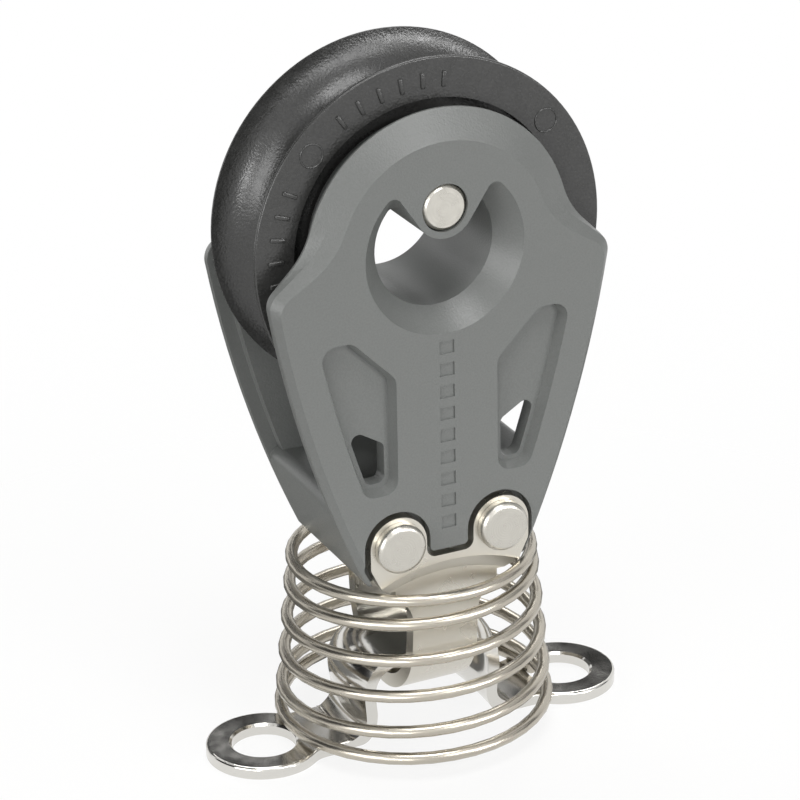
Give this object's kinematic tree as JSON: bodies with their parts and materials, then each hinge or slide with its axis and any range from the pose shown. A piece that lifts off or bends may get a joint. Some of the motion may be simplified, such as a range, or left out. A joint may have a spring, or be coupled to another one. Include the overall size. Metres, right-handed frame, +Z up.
{
  "type": "stand-up block",
  "caption": "Sailing block with a grooved ball-bearing sheave between moulded cheeks, held upright by a conical spring on a saddle that screws to a deck.",
  "frame": {"origin": "on the deck, midway between the two fixing holes of the saddle", "axes": "+X through both fixing holes, +Y along the sheave's axle towards the rear cheek, +Z up"},
  "size_m": [0.0376, 0.0237, 0.0594],
  "materials": {
    "polished_steel": "mirror-polished pressed stainless steel",
    "spring_steel": "drawn stainless spring wire",
    "satin_steel": "satin stainless strip",
    "rivet_steel": "turned and headed stainless steel",
    "pin_steel": "ground stainless steel",
    "race_steel": "ground stainless steel",
    "cheek_nylon": "moulded glass-filled nylon with a fine spark texture",
    "sheave_acetal": "moulded dark grey acetal, satin",
    "ball_acetal": "ground white acetal"
  },
  "bodies": {
    "deck_saddle": {"saddle": "polished_steel", "stand_up_spring": "spring_steel"},
    "block_body": {"head_strap": "satin_steel", "strap_rivet_left": "rivet_steel", "strap_rivet_right": "rivet_steel", "front_cheek": "cheek_nylon", "rear_cheek": "cheek_nylon", "hub_pin": "pin_steel", "bearing_race": "race_steel"},
    "sheave_wheel": {"sheave": "sheave_acetal"},
    "ball_train": {"bearing_ball_01": "ball_acetal", "bearing_ball_02": "ball_acetal", "bearing_ball_03": "ball_acetal", "bearing_ball_04": "ball_acetal", "bearing_ball_05": "ball_acetal", "bearing_ball_06": "ball_acetal", "bearing_ball_07": "ball_acetal", "bearing_ball_08": "ball_acetal", "bearing_ball_09": "ball_acetal", "bearing_ball_10": "ball_acetal", "bearing_ball_11": "ball_acetal", "bearing_ball_12": "ball_acetal", "bearing_ball_13": "ball_acetal", "bearing_ball_14": "ball_acetal", "bearing_ball_15": "ball_acetal", "bearing_ball_16": "ball_acetal"}
  },
  "joints": [
    {"name": "block_lean", "type": "hinge", "parent": "deck_saddle", "child": "block_body", "pos_m": [0, 0, 0.0101], "axis": [1, 0, 0], "range_deg": [-30, 30], "stiffness_Nm_per_rad": 0.02, "deforming": ["stand_up_spring"]},
    {"name": "sheave_spin", "type": "hinge", "parent": "block_body", "child": "sheave_wheel", "pos_m": [0, 0, 0.0444], "axis": [0, 1, 0], "continuous": true},
    {"name": "ball_roll", "type": "hinge", "parent": "block_body", "child": "ball_train", "pos_m": [0, 0, 0.0444], "axis": [0, 1, 0], "continuous": true}
  ],
  "couplings": [
    {"joint": "ball_roll", "follows": "sheave_spin", "ratio": 0.5901}
  ]
}
